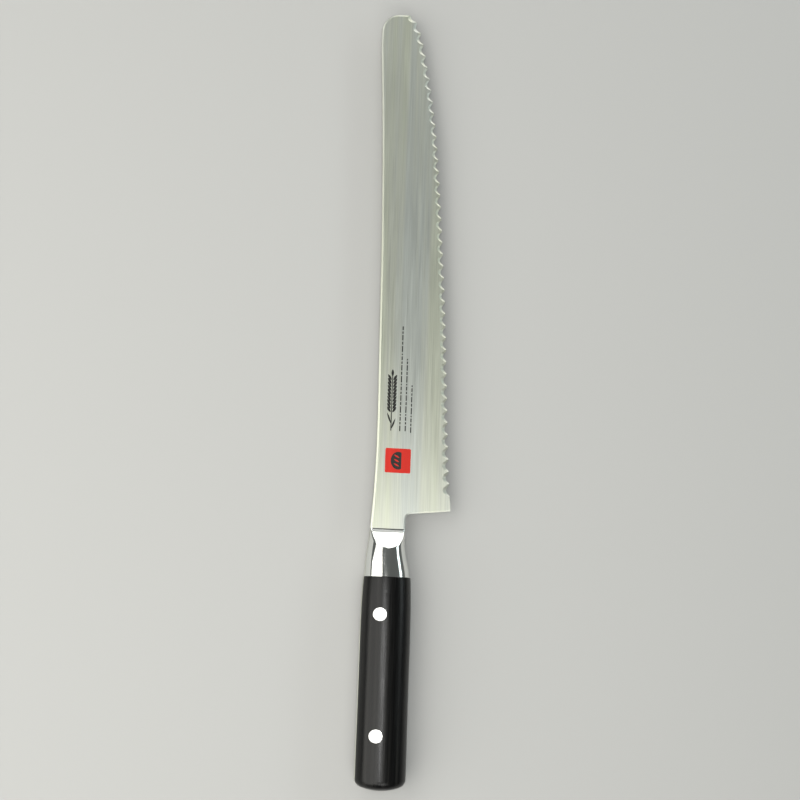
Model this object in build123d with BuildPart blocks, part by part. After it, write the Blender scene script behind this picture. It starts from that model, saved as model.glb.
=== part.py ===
from build123d import *

import os
from math import cos, radians, sin, tan

# A serrated bread knife that lies on its left side. +X runs along the handle to the blade's tip,
# +Y to the spine and +Z out of the blade's right face. The origin is the middle of the bounding
# box, on the surface under the knife. Inside the script x is counted from the butt, y from the
# handle's axis and z from the middle of the steel: the KNIFE plane holds that frame.

# ---- lengths along the knife --------------------------------------------------------------
HANDLE_LENGTH = 99.7
BOLSTER_LENGTH = 23.1
NECK_LENGTH = 8.5  # bare steel between the bolster and the heel
BLADE_LENGTH = 250.0

# ---- steel ---------------------------------------------------------------------------------
STOCK = 2.0  # thickness of the strip that the blade, neck and tang are cut from
LEFT_GRIND = 0.05  # taken off the blade's left face after the bolster is on
TIP_THICKNESS = 0.67  # steel left at the tip's blunt corner
HEEL_EDGE_THICKNESS = 0.65
SPINE_ABOVE_AXIS = 8.4  # height of the spine over the handle's axis at the heel
NECK_RISE = 0.6  # from there up to the spine at the bolster
BLADE_HEIGHT = 38.4  # spine to edge at the heel
TIP_SPINE_RISE = 3.7  # how much higher the spine stands at the tip than at the heel
TIP_RADIUS = 9.8
TIP_LEAN = 0.3
TIP_CORNER_DROP = 15.4  # spine down to the blunt corner where the serrations start
SPINE_CURVE = (  # share of the blade's length from the heel, share of the spine's rise
    (0.32, -0.175),
    (0.48, -0.045),
    (0.65, 0.21),
    (0.85, 0.74),
)
EDGE_CURVE = (  # share of the blade's length from the heel, share of the edge's rise
    (0.124, 0.075),
    (0.362, 0.189),
    (0.6, 0.346),
    (0.794, 0.528),
    (0.932, 0.764),
    (0.984, 0.914),
)
HEEL_RAKE = 2.4  # the heel's back face leans forward by this over its height
CHOIL_RADIUS = 3.0
RIM_BEVEL_WIDTH = 0.8  # on the right face: along the spine, round the tip and down the heel
RIM_BEVEL_DEPTH = 0.3
LEFT_ROUND = 0.2  # on the left face, all along the same rims

# ---- serrations ----------------------------------------------------------------------------
PITCH = 6.0
GULLET_CHORD = 4.7
GULLET_DEPTH = 1.45
GULLET_SLOPE = 22.0  # degrees between the ground hollow and the blade's flat left face
PLAIN_HEEL = 7.2  # unserrated edge at the heel

# ---- bolster -------------------------------------------------------------------------------
BOLSTER_REAR_HEIGHT = 21.5
BOLSTER_REAR_THICKNESS = 17.6
BOLSTER_FRONT_THICKNESS = 14.0  # before the ramp is cut
NECK_BELOW_AXIS = 8.0
FOOT_THICKNESS = 0.15  # the ramp's front edge, over the steel
FOOT_RUN = 2.2
RAMP_ANGLE = 38.0
RAMP_ROUND = 1.1

# ---- handle --------------------------------------------------------------------------------
HANDLE_HEIGHT = 24.2
HANDLE_THICKNESS = 20.0
HANDLE_LIP = 0.6  # how far the handle stands proud of the bolster, all round
HANDLE_TAPER_LENGTH = 34.0
BUTT_DOME_RADIUS = 26.0
BUTT_ROUND = 4.0
LIP_ROUND = 0.45
TANG_DEPTH = 15.7  # from the handle's top down to the floor of its slot

# ---- rivets --------------------------------------------------------------------------------
RIVET_HEAD_DIAMETER = 6.2
RIVET_TUBE_DIAMETER = 4.4
RIVET_STEM_DIAMETER = 3.0
RIVET_SEAT = 6.4  # from the middle of the steel out to the shoulder under each head
RIVET_END_GAP = 0.4
TANG_HOLE_CLEARANCE = 0.1  # on the radius
FRONT_RIVET_SETBACK = 17.8  # behind the bolster
REAR_RIVET_SETBACK = 25.5  # in front of the butt

# ---- what follows from them ----------------------------------------------------------------
BOLSTER_X = HANDLE_LENGTH
NECK_X = BOLSTER_X + BOLSTER_LENGTH
HEEL_X = NECK_X + NECK_LENGTH
TIP_X = HEEL_X + BLADE_LENGTH
HALF_STOCK = STOCK / 2
HALF_HEIGHT = HANDLE_HEIGHT / 2
EDGE_BELOW_AXIS = BLADE_HEIGHT - SPINE_ABOVE_AXIS
TANG_FLOOR = HALF_HEIGHT - TANG_DEPTH
RIVET_Y = HALF_HEIGHT - TANG_DEPTH / 2
TOP_REACH = max(HALF_HEIGHT, SPINE_ABOVE_AXIS + TIP_SPINE_RISE)
FRONT_RIVET_X = BOLSTER_X - FRONT_RIVET_SETBACK
REAR_RIVET_X = REAR_RIVET_SETBACK

KNIFE = Plane(
    origin=(
        -TIP_X / 2,
        (EDGE_BELOW_AXIS - TOP_REACH) / 2,
        HANDLE_THICKNESS / 2,
    )
)


LEFT_FACE = KNIFE.offset(-HALF_STOCK)
RIGHT_FACE = KNIFE.offset(HALF_STOCK)


def across(x):
    """The plane square to the knife at x, with y to the spine and z out of the right face."""
    return Plane(KNIFE.from_local_coords((x, 0, 0)), x_dir=KNIFE.y_dir, z_dir=KNIFE.x_dir)


def rivet_plane(x, side):
    """The middle of a rivet: z runs out of the right face (side 1) or of the left one (-1)."""
    return Plane(
        KNIFE.from_local_coords((x, RIVET_Y, 0)), x_dir=KNIFE.x_dir, z_dir=KNIFE.z_dir * side
    )


def local(edge):
    return KNIFE.to_local_coords(edge @ 0.5)


# ---- handle form: ovals that swell from the bolster, with a domed butt ----------------------
with BuildPart() as handle_form:
    front_height = BOLSTER_REAR_HEIGHT + 2 * HANDLE_LIP
    front_thickness = BOLSTER_REAR_THICKNESS + 2 * HANDLE_LIP
    swell = (
        (BOLSTER_X, 0.0),
        (BOLSTER_X - 0.35 * HANDLE_TAPER_LENGTH, 0.7),
        (BOLSTER_X - HANDLE_TAPER_LENGTH, 1.0),
        ((BOLSTER_X - HANDLE_TAPER_LENGTH) / 2, 1.0),
        (0.0, 1.0),
    )
    for x, grown in swell:
        with BuildSketch(across(x)):
            Ellipse(
                (front_height + grown * (HANDLE_HEIGHT - front_height)) / 2,
                (front_thickness + grown * (HANDLE_THICKNESS - front_thickness)) / 2,
            )
    loft()
    with Locations(KNIFE.from_local_coords((BUTT_DOME_RADIUS, 0, 0))):
        dome = Sphere(BUTT_DOME_RADIUS, mode=Mode.PRIVATE)
    with BuildSketch(across(BUTT_DOME_RADIUS)):
        Rectangle(4 * HANDLE_HEIGHT, 4 * HANDLE_HEIGHT)
    long_block = extrude(amount=HANDLE_LENGTH, mode=Mode.PRIVATE)
    add(dome + long_block, mode=Mode.INTERSECT)
    rims = handle_form.edges().filter_by(GeomType.LINE, reverse=True).sort_by(Axis.X)
    fillet(rims[0], BUTT_ROUND)
    fillet(handle_form.faces().sort_by(Axis.X)[-1].edges(), LIP_ROUND)

# ---- bolster form: a flared oval with a ramp down to the steel at its front ------------------
with BuildPart() as bolster_form:
    rear = BOLSTER_REAR_HEIGHT / 2
    flare = (  # share of the length, top and bottom edge from the axis
        (0.0, rear, rear),
        (0.24, rear - 0.15, rear - 0.95),
        (0.5, rear - 0.6, NECK_BELOW_AXIS + 0.45),
        (0.75, rear - 1.3, NECK_BELOW_AXIS - 0.2),
        (1.0, SPINE_ABOVE_AXIS + NECK_RISE, NECK_BELOW_AXIS),
    )
    for share, above, below in flare:
        thickness = BOLSTER_REAR_THICKNESS + share * (
            BOLSTER_FRONT_THICKNESS - BOLSTER_REAR_THICKNESS
        )
        with BuildSketch(across(BOLSTER_X + share * BOLSTER_LENGTH)):
            with Locations(((above - below) / 2, 0)):
                Ellipse((above + below) / 2, thickness / 2)
    loft()
    foot_rise = FOOT_RUN * tan(radians(RAMP_ANGLE / 2))
    foot_z = HALF_STOCK + FOOT_THICKNESS
    ramp_run = (BOLSTER_REAR_THICKNESS / 2 - foot_z - foot_rise + 1) / tan(radians(RAMP_ANGLE))
    with BuildSketch(Plane(KNIFE.origin, x_dir=KNIFE.x_dir, z_dir=-KNIFE.y_dir)):
        with BuildLine():
            foot = (NECK_X, foot_z)
            bend = (NECK_X - FOOT_RUN, foot_z + foot_rise)
            crest = (bend[0] - ramp_run, bend[1] + ramp_run * tan(radians(RAMP_ANGLE)))
            TangentArc(foot, bend, tangent=(-1, 0))
            Polyline(bend, crest, (BOLSTER_X, crest[1]), (BOLSTER_X, 0), (NECK_X, 0), foot)
        make_face()
        mirror(about=Plane.XZ)
    extrude(amount=2 * HANDLE_HEIGHT, both=True, mode=Mode.INTERSECT)
    crests = bolster_form.edges().filter_by(GeomType.BSPLINE)
    fillet([e for e in crests if BOLSTER_X < local(e).X < NECK_X and abs(local(e).Z) > 1], RAMP_ROUND)

# ---- seat and tang: the steel ground flush with the bolster and let into the handle ----------
with BuildPart() as seat:
    add(bolster_form.part)
    split(bisect_by=RIGHT_FACE, keep=Keep.BOTTOM)
    split(bisect_by=LEFT_FACE, keep=Keep.TOP)

with BuildSketch(LEFT_FACE) as slot:
    with Locations((BOLSTER_X / 2, TANG_FLOOR + HALF_HEIGHT)):
        Rectangle(BOLSTER_X, 2 * HALF_HEIGHT)

with BuildPart() as tang:
    add(handle_form.part)
    extrude(slot.sketch, amount=STOCK, mode=Mode.INTERSECT)

# ---- blade: one strip of steel, from the tip to the end of the tang ---------------------------
neck_top = (NECK_X, SPINE_ABOVE_AXIS + NECK_RISE)
heel_corner = (HEEL_X + HEEL_RAKE / 2, -EDGE_BELOW_AXIS)
choil = (HEEL_X - HEEL_RAKE / 2, -NECK_BELOW_AXIS)
tip_top = SPINE_ABOVE_AXIS + TIP_SPINE_RISE
tip_corner = (TIP_X, tip_top - TIP_CORNER_DROP)
nose_start = (TIP_X - TIP_LEAN - TIP_RADIUS, tip_top)
nose_end = (TIP_X - TIP_LEAN, tip_top - TIP_RADIUS)


def blade_curve(shares, base, rise):
    """Points over the blade's length, for shares of that length and of a rise from base."""
    return [(HEEL_X + x * BLADE_LENGTH, base + y * rise) for x, y in shares]


with BuildPart() as blade:
    left_flank = LEFT_FACE.offset(LEFT_GRIND)
    with BuildSketch(left_flank):
        with BuildLine():
            spine_points = blade_curve(SPINE_CURVE, SPINE_ABOVE_AXIS, TIP_SPINE_RISE)
            Spline(
                neck_top,
                (HEEL_X, SPINE_ABOVE_AXIS),
                *spine_points,
                nose_start,
                tangents=((1, -0.06), (1, 0)),
            )
            TangentArc(nose_start, nose_end, tangent=(1, 0))
            Line(nose_end, tip_corner)
            edge_rise = tip_corner[1] - heel_corner[1]
            edge_points = blade_curve(EDGE_CURVE, heel_corner[1], edge_rise)
            edge = Spline(heel_corner, *edge_points, tip_corner)
            neck_bottom = (NECK_X, -NECK_BELOW_AXIS)
            FilletPolyline(heel_corner, choil, neck_bottom, radius=CHOIL_RADIUS)
            Line(neck_bottom, neck_top)
        make_face()
    extrude(amount=STOCK - LEFT_GRIND)

    # the right face is ground flat, thinner towards the edge and towards the tip
    full = Vector(*neck_top, HALF_STOCK)
    left_z = LEFT_GRIND - HALF_STOCK
    thin_heel = Vector(*heel_corner, left_z + HEEL_EDGE_THICKNESS)
    thin_tip = Vector(*tip_corner, left_z + TIP_THICKNESS)
    flank = Plane(KNIFE.from_local_coords(full), z_dir=(thin_heel - full).cross(thin_tip - full))
    split(bisect_by=flank, keep=Keep.BOTTOM)

    # the right face is bevelled along the spine, round the tip, down the heel and along the
    # neck; the left face is only eased there
    right_face, left_face = (
        blade.faces().filter_by(lambda f: f.normal_at().Z * side > 0.9).sort_by(SortBy.AREA)[-1]
        for side in (1, -1)
    )

    def rims(face):
        """A face's edges, but for the serrated one and the one that runs into the bolster."""
        lengthwise = [e for e in face.edges() if local(e).X > NECK_X + 0.1]
        return [e for e in lengthwise if e.length < 0.9 * edge.length or local(e).Y > 0]

    chamfer(rims(right_face), RIM_BEVEL_WIDTH, RIM_BEVEL_DEPTH, reference=right_face)
    fillet(rims(left_face), LEFT_ROUND)

    # each gullet is the hollow that a round wheel leaves, climbing from the edge to the right face
    slope = radians(GULLET_SLOPE)
    bite = GULLET_DEPTH * sin(slope)
    wheel = (GULLET_CHORD**2 / 4 + bite**2) / (2 * bite)
    for i in range(round((edge.length - PLAIN_HEEL) / PITCH)):
        reach = (PLAIN_HEEL + (i + 0.5) * PITCH) / edge.length
        along = edge % reach
        inward = along.rotate(Axis.Z, 90)
        cut = inward * cos(slope) + Vector(0, 0, sin(slope))
        lift = inward * -sin(slope) + Vector(0, 0, cos(slope))
        middle = edge @ reach + inward * GULLET_DEPTH + lift * wheel
        with Locations(Plane(left_flank.from_local_coords(middle), x_dir=along, z_dir=cut)):
            Cylinder(wheel, 8 * STOCK, mode=Mode.SUBTRACT)

    add(seat.part)
    add(tang.part)
    with Locations(rivet_plane(FRONT_RIVET_X, 1), rivet_plane(REAR_RIVET_X, 1)):
        Hole(RIVET_TUBE_DIAMETER / 2 + TANG_HOLE_CLEARANCE)
blade.part.label = "blade"

# ---- bolster: two stainless halves, brazed to the steel and ground flush with it --------------
with BuildPart() as bolster_right:
    add(bolster_form.part)
    split(bisect_by=RIGHT_FACE, keep=Keep.TOP)
bolster_right.part.label = "bolster_right"

with BuildPart() as bolster_left:
    add(bolster_form.part)
    split(bisect_by=LEFT_FACE, keep=Keep.BOTTOM)
bolster_left.part.label = "bolster_left"

# ---- handle: one block of laminated wood, sawn from its top edge to take the tang --------------
with BuildPart() as handle:
    add(handle_form.part)
    extrude(slot.sketch, amount=STOCK, mode=Mode.SUBTRACT)
    for x in (FRONT_RIVET_X, REAR_RIVET_X):
        for side in (1, -1):
            with Locations(rivet_plane(x, side).offset(HANDLE_THICKNESS / 2)):
                CounterBoreHole(
                    RIVET_TUBE_DIAMETER / 2,
                    RIVET_HEAD_DIAMETER / 2,
                    HANDLE_THICKNESS / 2 - RIVET_SEAT,
                )
handle.part.label = "handle"


# ---- rivets: a stem driven into a tube, both heads ground flush with the handle -----------------
def rivet_half(x, side, diameter, bore, label):
    """One head on its shank, which stops short of the other half's head; bore 0 is a solid stem."""
    plane = rivet_plane(x, side)
    with BuildPart() as half:
        with BuildSketch(plane.offset(RIVET_SEAT)):
            Circle(RIVET_HEAD_DIAMETER / 2)
        extrude(amount=HANDLE_THICKNESS)
        add(handle_form.part, mode=Mode.INTERSECT)
        with BuildSketch(plane.offset(RIVET_SEAT)):
            Circle(diameter / 2)
            if bore:
                Circle(bore / 2, mode=Mode.SUBTRACT)
        extrude(amount=RIVET_END_GAP - 2 * RIVET_SEAT)
    half.part.label = label
    return half


rivet_halves = []
for place, x in (("front", FRONT_RIVET_X), ("rear", REAR_RIVET_X)):
    stem, tube = f"{place}_rivet_stem", f"{place}_rivet_tube"
    rivet_halves.append(rivet_half(x, 1, RIVET_STEM_DIAMETER, 0, stem))
    rivet_halves.append(rivet_half(x, -1, RIVET_TUBE_DIAMETER, RIVET_STEM_DIAMETER, tube))

os.makedirs("parts", exist_ok=True)
for piece in (blade, bolster_right, bolster_left, handle, *rivet_halves):
    export_step(piece.part, f"parts/{piece.part.label}.step")
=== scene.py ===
from math import cos, pi, radians, sin

import bmesh
import bpy
from mathutils import Matrix, Vector


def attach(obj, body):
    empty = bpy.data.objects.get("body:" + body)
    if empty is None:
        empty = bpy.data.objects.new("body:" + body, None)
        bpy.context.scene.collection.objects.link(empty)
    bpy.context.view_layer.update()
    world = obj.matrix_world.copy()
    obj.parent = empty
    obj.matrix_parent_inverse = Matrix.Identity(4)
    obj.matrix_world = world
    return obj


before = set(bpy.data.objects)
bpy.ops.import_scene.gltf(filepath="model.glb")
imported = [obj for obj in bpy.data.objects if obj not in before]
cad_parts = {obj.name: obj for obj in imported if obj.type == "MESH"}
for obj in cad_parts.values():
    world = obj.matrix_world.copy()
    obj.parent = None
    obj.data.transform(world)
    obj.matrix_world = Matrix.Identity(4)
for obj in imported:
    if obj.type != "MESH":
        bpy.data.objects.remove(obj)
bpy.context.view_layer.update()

# ---- Table ---------------------------------------------------------------------------------
# A plain pale board under the knife, painted matt, so it takes a soft shadow and gives the
# polished steel something light to reflect.
MM = 0.001  # the sizes of pieces are in millimetres, and this brings them to metres
TABLE_REACH = 6.0  # metres from its middle to each edge
TABLE_TOP = -0.08  # just under the lowest point of the handle
PALE_GREY = (0.4, 0.4, 0.39, 1)

scene = bpy.context.scene


def piece_from(shape, name, *finishes):
    """Turns a bmesh, already in place in metres, into a piece at the origin."""
    mesh = bpy.data.meshes.new(name)
    shape.to_mesh(mesh)
    shape.free()
    piece = bpy.data.objects.new(name, mesh)
    scene.collection.objects.link(piece)
    for finish in finishes:
        mesh.materials.append(finish)
    return piece


def new_finish(name, **values):
    """A finish with one Principled shader, whose plain values are set on its own sockets."""
    finish = bpy.data.materials.new(name)
    finish.use_nodes = True
    shader = finish.node_tree.nodes["Principled BSDF"]
    for socket, value in values.items():
        shader.inputs[socket.replace("_", " ")].default_value = value
    return finish, finish.node_tree, shader


table_paint, _, _ = new_finish("table_paint", Base_Color=PALE_GREY, Roughness=0.9)
board = bmesh.new()
bmesh.ops.create_grid(board, x_segments=1, y_segments=1, size=TABLE_REACH)
bmesh.ops.translate(board, verts=board.verts, vec=(0, 0, TABLE_TOP * MM))
table = piece_from(board, "table", table_paint)

# ---- Light ---------------------------------------------------------------------------------
# A large softbox on the spine side does most of the work. The others stand where the ground
# bevels, the bolster's round foot and the handle reflect them, and draw the bright lines there.
DAYLIGHT = (1.0, 0.985, 0.94)
SKYLIGHT = (0.86, 0.97, 1.0)
WHITE = (1.0, 1.0, 0.98)
ROOM_LIGHT, ROOM_COLOUR = 0.12, (0.95, 1.0, 0.97, 1)


def softbox(name, centre, width, height, radiance, colour=WHITE):
    """A soft panel that faces the knife, with its place and size in metres."""
    lamp = bpy.data.lights.new(name, "AREA")
    lamp.shape = "RECTANGLE"
    lamp.size, lamp.size_y = width, height
    lamp.color = colour
    lamp.energy = radiance * pi * width * height
    panel = bpy.data.objects.new(name, lamp)
    panel.location = Vector(centre)
    panel.rotation_euler = panel.location.to_track_quat("Z", "Y").to_euler()
    scene.collection.objects.link(panel)


softbox("window_softbox", (-0.36, 0.72, 0.7), 1.36, 1.2, radiance=2.9, colour=DAYLIGHT)
softbox("edge_strip", (0.3, -0.85, 0.5), 0.9, 0.2, radiance=3.0, colour=SKYLIGHT)
softbox("tip_softbox", (1.0, -0.4, 0.3), 1.2, 0.6, radiance=1.9)
softbox("spine_softbox", (0.72, 0.7, 0.92), 1.1, 0.7, radiance=2.1)
softbox("foot_strip", (0.72, -0.2, 1.12), 0.15, 1.0, radiance=0.7)
softbox("butt_softbox", (-0.85, -0.1, 0.9), 0.5, 0.5, radiance=4.0)
softbox("handle_strip", (-0.145, 0.15, 1.15), 0.36, 0.16, radiance=24.0)

room = bpy.data.worlds.new("room")
room.use_nodes = True
room_walls = room.node_tree.nodes["Background"]
room_walls.inputs["Color"].default_value = ROOM_COLOUR
room_walls.inputs["Strength"].default_value = ROOM_LIGHT
scene.world = room
scene.view_settings.view_transform = "Standard"

# ---- Camera --------------------------------------------------------------------------------
# Almost overhead, a little towards the butt and the spine, with the tip at the top.
CAMERA_AT = (-117.4, 135.3, 768.4)
CAMERA_AIM = (-5.2, 5.6, 10.0)
CAMERA_LEAN = radians(2)  # how far the view's upright leans off the knife's own line
SENSOR, LENS = 36, 72

camera_data = bpy.data.cameras.new("camera")
camera_data.sensor_width = SENSOR
camera_data.lens = LENS
camera = bpy.data.objects.new("camera", camera_data)
camera.location = Vector(CAMERA_AT) * MM
aim = (Vector(CAMERA_AIM) * MM - camera.location).normalized()
across = aim.cross(Vector((cos(CAMERA_LEAN), sin(CAMERA_LEAN), 0))).normalized()
camera.rotation_euler = Matrix((across, across.cross(aim), -aim)).transposed().to_euler()
scene.collection.objects.link(camera)
scene.camera = camera

# ---- Blade ---------------------------------------------------------------------------------
# One strip of stainless steel, ground along its length on the right face and left satin. The
# tang at its back is the same strip, so the steel shows along the handle's spine too.
BLADE_LINE_DEPTH = 0.003
COOL_STEEL, STEEL, WARM_STEEL = (0.53, 0.555, 0.515), (0.56, 0.575, 0.50), (0.56, 0.58, 0.48)


def step(tree, kind, **settings):
    """One step of a finish, with its settings; a setting named in_x fills its socket x."""
    made = tree.nodes.new(kind)
    for name, value in settings.items():
        if name.startswith("in_"):
            made.inputs[name[3:].replace("_", " ")].default_value = value
        else:
            setattr(made, name, value)
    return made


# the lines that a grinding belt leaves, all along the knife: fine ones, and broad faint bands
belt_lines = bpy.data.node_groups.new("belt_lines", "ShaderNodeTree")
for socket, per_metre in (
    ("Lines Across", 4000.0),
    ("Lines Along", 40.0),
    ("Bands Across", 160.0),
    ("Bands Along", 4.0),
):
    asked = belt_lines.interface.new_socket(
        socket, in_out="INPUT", socket_type="NodeSocketFloat"
    )
    asked.default_value = per_metre
for socket in ("Lines", "Bands"):
    belt_lines.interface.new_socket(socket, in_out="OUTPUT", socket_type="NodeSocketFloat")
wanted = step(belt_lines, "NodeGroupInput")
given = step(belt_lines, "NodeGroupOutput")
spot = step(belt_lines, "ShaderNodeTexCoord")
for marks, detail in (("Lines", 3.0), ("Bands", 2.0)):
    reach = step(belt_lines, "ShaderNodeCombineXYZ")
    belt_lines.links.new(wanted.outputs[f"{marks} Along"], reach.inputs["X"])
    belt_lines.links.new(wanted.outputs[f"{marks} Across"], reach.inputs["Y"])
    belt_lines.links.new(wanted.outputs[f"{marks} Across"], reach.inputs["Z"])
    drawn = step(belt_lines, "ShaderNodeVectorMath", operation="MULTIPLY")
    belt_lines.links.new(spot.outputs["Object"], drawn.inputs[0])
    belt_lines.links.new(reach.outputs["Vector"], drawn.inputs[1])
    noise = step(belt_lines, "ShaderNodeTexNoise", in_Scale=1.0, in_Detail=detail)
    belt_lines.links.new(drawn.outputs["Vector"], noise.inputs["Vector"])
    belt_lines.links.new(noise.outputs["Fac"], given.inputs[marks])


def grind(tree, **per_metre):
    """Lays belt lines on a finish; gives the fine lines and the bands, each from 0 to 1."""
    belt = step(tree, "ShaderNodeGroup", node_tree=belt_lines)
    for name, value in per_metre.items():
        belt.inputs[name.replace("_", " ")].default_value = value
    return belt.outputs["Lines"], belt.outputs["Bands"]


def vary(tree, marks, low, high):
    """A value that goes from low to high with the marks, which lie mostly in 0.3 to 0.7."""
    made = step(tree, "ShaderNodeMapRange")
    tree.links.new(marks, made.inputs["Value"])
    for name, value in (
        ("From Min", 0.3),
        ("From Max", 0.7),
        ("To Min", low),
        ("To Max", high),
    ):
        made.inputs[name].default_value = value
    return made.outputs["Result"]


def colour_by(tree, marks, *stops):
    """A colour that follows the marks through its stops."""
    made = step(tree, "ShaderNodeValToRGB")
    tree.links.new(marks, made.inputs["Fac"])
    stages = made.color_ramp.elements
    for i, (at, colour) in enumerate(stops):
        stage = stages[i] if i < 2 else stages.new(at)
        stage.position, stage.color = at, (*colour, 1)
    return made.outputs["Color"]


def darken(tree, colour, shade):
    """A colour darkened or lightened by a value around 1."""
    made = step(tree, "ShaderNodeVectorMath", operation="SCALE")
    tree.links.new(colour, made.inputs[0])
    tree.links.new(shade, made.inputs["Scale"])
    return made.outputs["Vector"]


def cut_lines(tree, shader, lines, depth):
    """Cuts the fine lines into the surface, to a depth in millimetres."""
    made = step(tree, "ShaderNodeBump", in_Distance=depth * MM, in_Strength=1.0)
    tree.links.new(lines, made.inputs["Height"])
    tree.links.new(made.outputs["Normal"], shader.inputs["Normal"])


def dress(node, finish):
    """Gives a piece of the frame its finish."""
    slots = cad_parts[node].data.materials
    slots.clear()
    slots.append(finish)


# the belt runs along the blade, so the steel spreads light across it
satin_steel, tree, shader = new_finish("satin_steel", Metallic=1.0, Anisotropic=0.8)
across_blade = step(tree, "ShaderNodeCombineXYZ", in_Y=1.0)
tree.links.new(across_blade.outputs["Vector"], shader.inputs["Tangent"])
lines, bands = grind(
    tree, Lines_Across=3200.0, Lines_Along=30.0, Bands_Across=150.0, Bands_Along=3.0
)
steel_tone = colour_by(tree, bands, (0.36, COOL_STEEL), (0.5, STEEL), (0.64, WARM_STEEL))
steel_tone = darken(tree, steel_tone, vary(tree, lines, 0.9, 1.1))
tree.links.new(steel_tone, shader.inputs["Base Color"])
tree.links.new(vary(tree, lines, 0.37, 0.47), shader.inputs["Roughness"])
cut_lines(tree, shader, lines, BLADE_LINE_DEPTH)
dress("blade", satin_steel)

# ---- Printed marks -------------------------------------------------------------------------
# Plain bakery decoration in thin ink on the blade's right face: an ear of wheat that lies
# along the steel, three rows of dashes under it, and a red square with a loaf on it.
INK_FILM = 0.03
INK_BITE = 0.2  # the share of a film that is sunk in what it lies on, so no gap shows
OVER_BLADE = 50.0  # a height from which the steel is looked for

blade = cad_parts["blade"]


def lay_on_steel(shape, under=0.0):
    """Gives flat figures the film's thickness and lays them on the blade's right face."""
    bmesh.ops.solidify(shape, geom=shape.faces[:], thickness=INK_FILM * MM)
    bmesh.ops.recalc_face_normals(shape, faces=shape.faces)
    middle = sum(v.co.z for v in shape.verts) / len(shape.verts)
    for v in shape.verts:
        height = under + (INK_FILM if v.co.z > middle else -INK_BITE * INK_FILM)
        above = Vector((v.co.x, v.co.y, OVER_BLADE * MM))
        _, steel, _, _ = blade.ray_cast(above, Vector((0, 0, -1)))
        v.co.z = steel.z + height * MM


def add_leaf(shape, x, y, length, width, slant=0):
    """A flat pointed oval with its middle at x, y and its long way slanted off the blade's."""
    leaf = bmesh.ops.create_circle(shape, cap_ends=True, segments=14, radius=1)["verts"]
    for v in leaf:
        narrowed = 1 - 0.55 * v.co.x**2  # towards both ends
        v.co = Vector((v.co.x * length / 2, v.co.y * narrowed * width / 2, 0)) * MM
    bmesh.ops.rotate(shape, verts=leaf, matrix=Matrix.Rotation(radians(slant), 3, "Z"))
    bmesh.ops.translate(shape, verts=leaf, vec=Vector((x, y, 0)) * MM)


def add_bar(shape, x, y, length, width):
    """A flat bar with its middle at x, y."""
    bar = bmesh.ops.create_grid(shape, x_segments=1, y_segments=1, size=0.5)["verts"]
    bmesh.ops.scale(shape, verts=bar, vec=Vector((length, width, 0)) * MM)
    bmesh.ops.translate(shape, verts=bar, vec=Vector((x, y, 0)) * MM)


black_ink, tree, shader = new_finish("black_ink", Roughness=0.6, Specular_IOR_Level=0.25)
lines, bands = grind(tree, Lines_Across=3200.0, Lines_Along=30.0)
ink_tone = colour_by(tree, lines, (0.3, (0.008, 0.009, 0.008)), (0.7, (0.03, 0.03, 0.027)))
tree.links.new(ink_tone, shader.inputs["Base Color"])

# the ear: a stalk, a grain at its top, pairs of grains down its sides, and two leaves
EAR_FROM, EAR_TO, EAR_Y = -20.5, 9.0, 9.7
STALK_SHORT, STALK_WIDTH = 2.0, 0.45
TOP_GRAIN_X, TOP_GRAIN_LENGTH, TOP_GRAIN_WIDTH = EAR_TO - 1.2, 3.6, 1.3
GRAIN_PAIRS, GRAIN_START, GRAIN_STEP, GRAIN_OFF = 10, EAR_TO - 3.4, 1.75, 1.35
GRAIN_LENGTH, GRAIN_WIDTH, GRAIN_SLANT = 3.3, 1.25, 33
LEAF_X, LEAF_OFF = (-14.4, -17.0), 1.1
LEAF_LENGTH, LEAF_WIDTH, LEAF_SLANT = 5.6, 0.9, 20

ear = bmesh.new()
stalk_x = (EAR_FROM + EAR_TO - STALK_SHORT) / 2
add_bar(ear, stalk_x, EAR_Y, EAR_TO - EAR_FROM - STALK_SHORT, STALK_WIDTH)
add_leaf(ear, TOP_GRAIN_X, EAR_Y, TOP_GRAIN_LENGTH, TOP_GRAIN_WIDTH)
for i in range(GRAIN_PAIRS):
    for side in (1, -1):
        x, y = GRAIN_START - GRAIN_STEP * i, EAR_Y + side * GRAIN_OFF
        add_leaf(ear, x, y, GRAIN_LENGTH, GRAIN_WIDTH, side * GRAIN_SLANT)
for x, side in zip(LEAF_X, (1, -1)):
    add_leaf(ear, x, EAR_Y + side * LEAF_OFF, LEAF_LENGTH, LEAF_WIDTH, side * LEAF_SLANT)
lay_on_steel(ear)
wheat_ear = piece_from(ear, "wheat_ear", black_ink)

# the rows of dashes, each row with its height on the blade, its start and its end
ROWS = ((5.3, -20.5, 31.5), (2.6, -20.4, 15.2), (-0.1, -21.0, 2.4))
DASHES = (2.7, 1.2, 1.9, 0.8, 3.2, 1.5)
DASH_GAP, DASH_WIDTH = 0.6, 0.55

rows = bmesh.new()
for y, x, end in ROWS:
    count = 0
    while x < end - DASH_GAP:
        length = min(DASHES[count % len(DASHES)], end - x)
        add_bar(rows, x + length / 2, y, length, DASH_WIDTH)
        x, count = x + length + DASH_GAP, count + 1
lay_on_steel(rows)
dashed_rows = piece_from(rows, "dashed_rows", black_ink)

# the square, near the heel
SQUARE_X, SQUARE_Y, SQUARE_LENGTH, SQUARE_HEIGHT = -34.9, 5.7, 11.9, 12.6
SQUARE_CORNER = 0.7

red_ink, tree, shader = new_finish("red_ink", Roughness=0.5, Specular_IOR_Level=0.3)
lines, bands = grind(tree, Lines_Across=2400.0, Lines_Along=200.0)
ink_tone = colour_by(tree, bands, (0.3, (0.42, 0.014, 0.007)), (0.7, (0.55, 0.022, 0.011)))
tree.links.new(ink_tone, shader.inputs["Base Color"])

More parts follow.
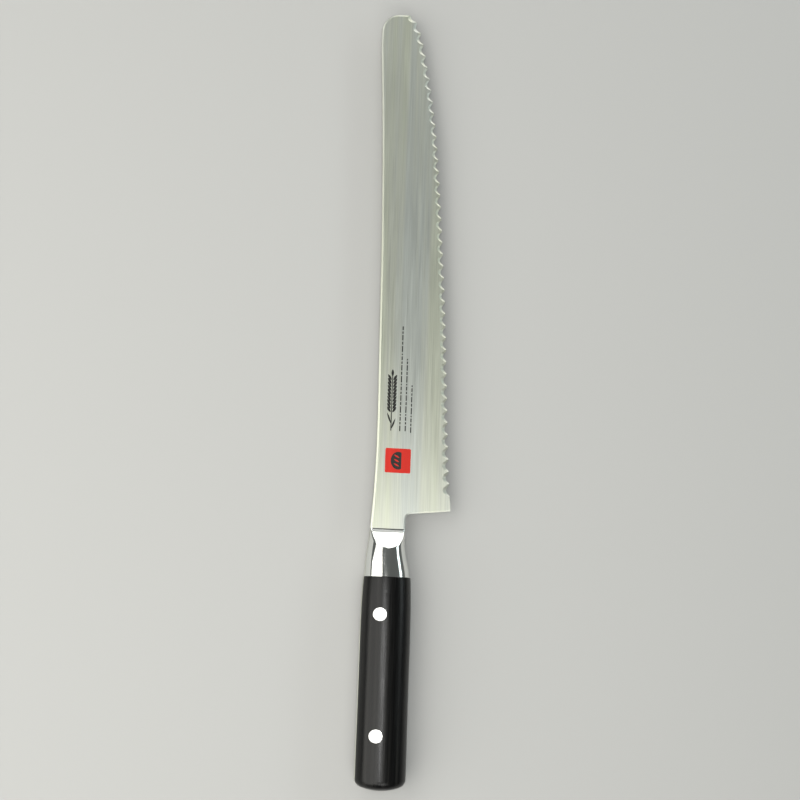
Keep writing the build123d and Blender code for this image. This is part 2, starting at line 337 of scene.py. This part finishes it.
square = bmesh.new()
add_bar(square, 0, 0, SQUARE_LENGTH, SQUARE_HEIGHT)
bmesh.ops.bevel(
    square,
    geom=square.verts[:],
    affect="VERTICES",
    offset=SQUARE_CORNER * MM,
    segments=4,
    profile=0.5,
    material=-1,
)
bmesh.ops.translate(square, verts=square.verts, vec=Vector((SQUARE_X, SQUARE_Y, 0)) * MM)
lay_on_steel(square)
red_square = piece_from(square, "red_square", red_ink)

# the loaf: a round with its underside cut flat, and three slashes on top of it
LOAF_Y, LOAF_LENGTH, LOAF_HEIGHT = SQUARE_Y - 0.6, 4.3, 3.7  # half of each way across
LOAF_FLAT, LOAF_LIFT = -0.42, 0.12  # shares of its height
SLASH_STEP, SLASH_Y = 2.1, SQUARE_Y + 0.65
SLASH_LENGTH, SLASH_WIDTH, SLASH_SLANT = 3.0, 0.75, 62

loaf = bmesh.new()
bmesh.ops.create_circle(loaf, cap_ends=True, segments=40, radius=1)
for v in loaf.verts:
    y = max(v.co.y, LOAF_FLAT) + LOAF_LIFT
    v.co = Vector((SQUARE_X + LOAF_LENGTH * v.co.x, LOAF_Y + LOAF_HEIGHT * y, 0)) * MM
lay_on_steel(loaf, under=INK_FILM)
loaf_figure = piece_from(loaf, "loaf_figure", black_ink)

slashes = bmesh.new()
for i in (-1, 0, 1):
    x = SQUARE_X + SLASH_STEP * i
    add_leaf(slashes, x, SLASH_Y, SLASH_LENGTH, SLASH_WIDTH, SLASH_SLANT)
lay_on_steel(slashes, under=2 * INK_FILM)
loaf_slashes = piece_from(slashes, "loaf_slashes", red_ink)

for mark in (wheat_ear, dashed_rows, red_square, loaf_figure, loaf_slashes):
    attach(mark, "root")

# ---- Bolster -------------------------------------------------------------------------------
# Two stainless halves brazed to the steel, ground flush with it and buffed to a mirror, which
# keeps a faint cloudiness from the buff.
mirror_steel, tree, shader = new_finish("mirror_steel", Metallic=1.0)
lines, bands = grind(
    tree, Lines_Across=5000.0, Lines_Along=120.0, Bands_Across=300.0, Bands_Along=60.0
)
mirror_tone = colour_by(tree, bands, (0.3, (0.77, 0.79, 0.77)), (0.7, (0.86, 0.86, 0.83)))
tree.links.new(mirror_tone, shader.inputs["Base Color"])
tree.links.new(vary(tree, bands, 0.07, 0.13), shader.inputs["Roughness"])
dress("bolster_right", mirror_steel)
dress("bolster_left", mirror_steel)

# ---- Handle --------------------------------------------------------------------------------
# A block of black laminated wood: thin dyed veneers pressed with resin, turned oval, sawn
# from the spine for the tang and finished satin.
GRAIN_DEPTH = 0.01

laminated_wood, tree, shader = new_finish("laminated_wood", Specular_IOR_Level=0.25)
lines, bands = grind(
    tree, Lines_Across=2600.0, Lines_Along=60.0, Bands_Across=500.0, Bands_Along=6.0
)
veneer_tone = colour_by(
    tree,
    bands,
    (0.35, (0.0015, 0.0015, 0.0015)),
    (0.52, (0.003, 0.003, 0.0028)),
    (0.68, (0.008, 0.0078, 0.007)),
)
veneer_tone = darken(tree, veneer_tone, vary(tree, lines, 0.75, 1.35))
tree.links.new(veneer_tone, shader.inputs["Base Color"])
tree.links.new(vary(tree, lines, 0.24, 0.36), shader.inputs["Roughness"])
cut_lines(tree, shader, lines, GRAIN_DEPTH)
dress("handle", laminated_wood)

# ---- Rivets --------------------------------------------------------------------------------
# Two pairs of stainless cutler's rivets, a stem driven into a tube, ground flush with the
# handle and buffed.
RIVET_LINE_DEPTH = 0.002

rivet_steel, tree, shader = new_finish("rivet_steel", Metallic=1.0)
lines, bands = grind(
    tree, Lines_Across=3000.0, Lines_Along=500.0, Bands_Across=900.0, Bands_Along=500.0
)
rivet_tone = colour_by(tree, bands, (0.3, (0.55, 0.55, 0.53)), (0.7, (0.72, 0.72, 0.7)))
tree.links.new(rivet_tone, shader.inputs["Base Color"])
tree.links.new(vary(tree, lines, 0.28, 0.42), shader.inputs["Roughness"])
cut_lines(tree, shader, lines, RIVET_LINE_DEPTH)
for rivet in ("front_rivet", "rear_rivet"):
    dress(f"{rivet}_stem", rivet_steel)
    dress(f"{rivet}_tube", rivet_steel)
